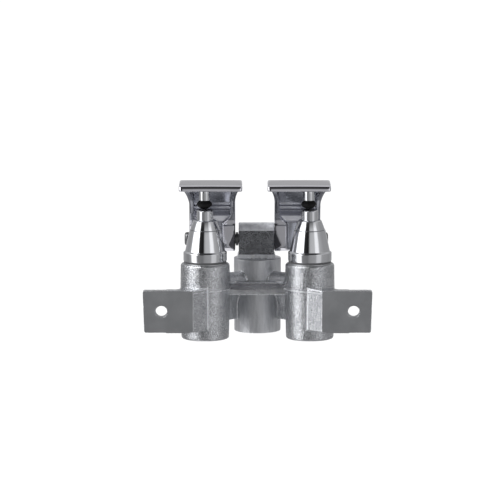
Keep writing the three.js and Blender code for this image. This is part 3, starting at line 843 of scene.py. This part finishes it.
for side in ("left", "right"):
    blo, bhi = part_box(f"{side}_bonnet")
    c = ((blo.x + bhi.x) / 2 / MM, (blo.y + bhi.y) / 2 / MM - DY, 0)

    def turned_piece(name, profile, mat, body, centre=c, n=128, axis="z", steps=4):
        v, f = lathe(profile, centre, n, axis, steps)
        ob = make_object(f"{name}_turned", v, f, [mat], sharp_deg=32)
        return place(ob, body, name)

    turned_piece(
        f"{side}_bonnet",
        [
            (3.0, 47.0), (13.25, 47.0, 0.5), (13.25, 62.6), (17.4, 62.6, 0.35), (17.4, 69.3, 0.5),
            (15.95, 70.5, 0.45), (14.2, 78.6), (12.4, 87.2, 0.3), (10.4, 87.2), (10.4, 81.4), (9.7, 80.6), (9.7, 56.0),
            (3.0, 56.0), (3.0, 53.2), (5.1, 53.2), (5.1, 50.7), (3.0, 50.7),
        ],
        M_CHROME, "valve_body",
    )
    turned_piece(
        f"{side}_bonnet_cap",
        [
            (6.95, 82.0), (10.1, 82.0), (10.1, 87.45), (12.05, 87.45, 0.25), (9.35, 94.5, 0.6),
            (8.6, 95.2, 0.25), (6.95, 95.2, 0.2),
        ],
        M_CHROME, "valve_body",
    )
    turned_piece(
        f"{side}_bonnet_gasket",
        [(13.7, 61.4), (16.85, 61.4, 0.3), (16.85, 62.5, 0.3), (13.7, 62.5)],
        M_FIBRE, "valve_body",
    )
    turned_piece(
        f"{side}_plunger",
        [
            (0, 86.2), (2.8, 86.2), (2.8, 78.0), (9.2, 78.0, 0.3), (9.2, 81.6, 0.3), (6.6, 81.6),
            (6.6, 102.3, 0.4), (5.9, 103.15, 0.4), (5.1, 103.2), (0, 103.2),
        ],
        M_CHROME, f"{side}_plunger",
    )
    # painted reflection and shadow: the top of the plunger is painted near black where it mirrors the black bumper
    # above it
    me = bpy.data.objects[f"{side}_plunger_turned"].data
    me.materials.append(M_BUMPER_REFLECTION_PAINT)
    for poly_ in me.polygons:
        q = poly_.center
        far = math.hypot(q.x / MM - c[0], q.y / MM - DY - c[1])
        if q.z / MM > 103.12 and far < 5.2:
            poly_.material_index = 1
    plo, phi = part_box(f"{side}_pusher_pin")
    pc = ((plo.x + phi.x) / 2 / MM, (plo.y + phi.y) / 2 / MM - DY, 0)
    turned_piece(
        f"{side}_pusher_pin",
        [
            (0, 114.0), (2.4, 114.0), (2.4, 110.8), (4.5, 110.8, 0.45), (4.5, 118.6, 0.2), (3.0, 118.6),
            (3.0, 122.0), (0, 122.0),
        ],
        M_CHROME, f"{side}_pedal", pc,
    )
    dome = [
        (0, 104.1), (2.2, 104.3, 1.0), (4.1, 105.15, 1.5), (5.4, 106.3, 1.5), (6.18, 107.7, 0.5), (5.95, 108.6, 0.8),
        (5.3, 109.5, 0.8), (4.5, 110.2, 0.4), (4.2, 110.7), (2.1, 110.7), (2.1, 113.4), (0, 113.4),
    ]
    turned_piece(f"{side}_pusher_bumper", dome, M_RUBBER, f"{side}_pedal", pc)
    for where in ("inner", "outer"):
        name = f"{side}_hinge_bush_{where}"
        a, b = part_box(name)
        turned_piece(
            name,
            [(4.3, a.x / MM, 0.25), (6.15, a.x / MM, 0.35), (6.15, b.x / MM, 0.35), (4.3, b.x / MM, 0.25)],
            M_NYLON, f"{side}_hinge_bushes", (0, AXLE_Y, AXLE_Z), 96, "x",
        )

x0, x1 = AXLE_LO.x / MM, AXLE_HI.x / MM
turned_piece(
    "hinge_axle",
    [
        (0, x0), (3.6, x0 + 0.05), (5.0, x0 + 0.7, 0.6), (5.45, x0 + 1.9, 0.6), (5.45, x0 + 3.6, 0.3), (4.0, x0 + 3.6),
        (4.0, x1, 0.5), (0, x1),
    ],
    M_PIN_SHADE_DARKENED, "valve_body", (0, AXLE_Y, AXLE_Z), 96, "x",
)
a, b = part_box("axle_cap_nut")
n0, n1 = a.x / MM, b.x / MM
turned_piece(
    "axle_cap_nut",
    [
        (0, n1 - 1.2), (4.3, n1 - 1.2), (4.3, n0), (5.45, n0, 0.3), (5.45, n1 - 1.8, 0.6), (4.9, n1 - 0.7, 0.6),
        (3.4, n1 - 0.05), (0, n1),
    ],
    M_PIN_SHADE_DARKENED, "valve_body", (0, AXLE_Y, AXLE_Z), 96, "x",
)
for name in ("axle_spacer_left", "axle_spacer_right"):
    a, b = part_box(name)
    turned_piece(
        name,
        [(4.3, a.x / MM, 0.2), (5.45, a.x / MM, 0.3), (5.45, b.x / MM, 0.3), (4.3, b.x / MM, 0.2)],
        M_PIN_SHADE_DARKENED, "valve_body", (0, AXLE_Y, AXLE_Z), 96, "x",
    )


# ------------------------------------------------------------------ floor, light, camera
bpy.ops.mesh.primitive_plane_add(size=14, location=(0, 0, 0))
floor = bpy.context.object
floor.name = "floor"
fm, fnt, fb = new_material("pale_floor")
fb.inputs["Base Color"].default_value = (0.05, 0.05, 0.05, 1)
fb.inputs["Roughness"].default_value = 0.9
fb.inputs["Emission Color"].default_value = (1, 1, 1, 1)
fb.inputs["Emission Strength"].default_value = 1.0
floor.data.materials.append(fm)
floor.visible_glossy = False

world = bpy.data.worlds.new("studio")
bpy.context.scene.world = world
world.use_nodes = True
wn = world.node_tree
wn.nodes.clear()
wout = wn.nodes.new("ShaderNodeOutputWorld")
tc = wn.nodes.new("ShaderNodeTexCoord")
sep = wn.nodes.new("ShaderNodeSeparateXYZ")
wn.links.new(tc.outputs["Generated"], sep.inputs[0])
ang = math_node(wn, "ARCTAN2", sep.outputs["X"], math_node(wn, "MULTIPLY", sep.outputs["Y"], -1.0))
u = math_node(wn, "ADD", math_node(wn, "MULTIPLY", ang, 1 / (2 * math.pi)), 0.5)


def band(stops):
    """Brightness round the studio: (azimuth in degrees, 0 towards the mounting side), value."""
    n = wn.nodes.new("ShaderNodeValToRGB")
    n.color_ramp.interpolation = "LINEAR"
    el = n.color_ramp.elements
    while len(el) > 1:
        el.remove(el[-1])
    for i, (az, val) in enumerate(stops):
        p = az / 360 + 0.5
        e = el[0] if i == 0 else el.new(p)
        e.position = p
        g = val / 4.0
        e.color = (g, g, g * 1.015, 1)
    wn.links.new(u, n.inputs["Fac"])
    return n.outputs["Color"]


MID = band(
    [
        (-180, 0.42), (-145, 0.40), (-112, 0.34), (-92, 0.42), (-85, 2.0), (-42, 2.4), (-36, 0.03), (-9, 0.012),
        (-3, 0.42), (5, 0.56), (28, 0.62), (34, 1.15), (52, 1.15), (60, 0.5), (90, 0.36), (126, 0.36), (150, 0.40),
        (180, 0.42),
    ]
)
LOW = band(
    [
        (-180, 0.95), (-170, 0.85), (-158, 0.42), (-140, 0.38), (-100, 0.28), (-80, 0.4), (-72, 1.7), (-50, 1.7), (-42, 0.25), (-14, 0.2),
        (0, 0.33), (30, 0.4), (38, 0.7), (58, 0.7), (66, 0.4), (120, 0.32), (150, 0.38), (158, 0.42), (170, 0.85), (180, 0.95),
    ]
)
HIGH = band([(-180, 0.85), (-150, 0.7), (-120, 0.5), (-90, 1.0), (-60, 0.8), (-30, 0.06), (30, 0.06), (60, 0.6), (90, 0.8), (120, 0.4), (150, 0.7), (180, 0.85)])


def mix(a, b, fac):
    n = wn.nodes.new("ShaderNodeMix")
    n.data_type = "RGBA"
    ins = [s for s in n.inputs if s.type == "RGBA"]
    wn.links.new(a, ins[0])
    wn.links.new(b, ins[1])
    wn.links.new(fac, n.inputs["Factor"])
    return [s for s in n.outputs if s.type == "RGBA"][0]


low_mid = mix(LOW, MID, ramp(wn, sep.outputs["Z"], -0.06, 0.12, 0.0, 1.0))
all_up = mix(low_mid, HIGH, ramp(wn, sep.outputs["Z"], 0.38, 0.66, 0.0, 1.0))
zen = wn.nodes.new("ShaderNodeRGB")
zen.outputs[0].default_value = (0.012, 0.012, 0.0125, 1)
all_up = mix(all_up, zen.outputs[0], ramp(wn, sep.outputs["Z"], 0.82, 0.95, 0.0, 1.0))
studio = node(wn, "ShaderNodeBackground", Strength=4.0)
wn.links.new(all_up, studio.inputs["Color"])
white = node(wn, "ShaderNodeBackground", Color=(1, 1, 1, 1), Strength=1.02)
path = wn.nodes.new("ShaderNodeLightPath")
mixer = wn.nodes.new("ShaderNodeMixShader")
wn.links.new(path.outputs["Is Camera Ray"], mixer.inputs[0])
wn.links.new(studio.outputs[0], mixer.inputs[1])
wn.links.new(white.outputs[0], mixer.inputs[2])
wn.links.new(mixer.outputs[0], wout.inputs[0])

key = bpy.data.lights.new("key", "AREA")
key.shape, key.size, key.size_y, key.energy = "RECTANGLE", 0.9, 0.7, 9
key_ob = bpy.data.objects.new("key", key)
bpy.context.scene.collection.objects.link(key_ob)
key_ob.location = (-0.9, -0.2, 1.3)
key_ob.rotation_mode = "QUATERNION"
key_ob.rotation_quaternion = (Vector((0, 0, 0.06)) - key_ob.location).to_track_quat("-Z", "Y")

sc = bpy.context.scene
sc.view_settings.view_transform = "Standard"
sc.view_settings.look = "None"

cam = bpy.data.cameras.new("camera")
cam.lens, cam.sensor_width = 300, 36
cam.clip_start, cam.clip_end = 0.05, 60
cam_ob = bpy.data.objects.new("camera", cam)
sc.collection.objects.link(cam_ob)
sc.camera = cam_ob
el = math.radians(8.5)
look = Vector((0, math.cos(el), -math.sin(el)))
target = Vector((-5.98 * MM, DY * MM, 70.9 * MM))
dist = 0.3985 * 300 / 36
cam_ob.location = target - look * dist
cam_ob.rotation_mode = "QUATERNION"
cam_ob.rotation_quaternion = look.to_track_quat("-Z", "Y")
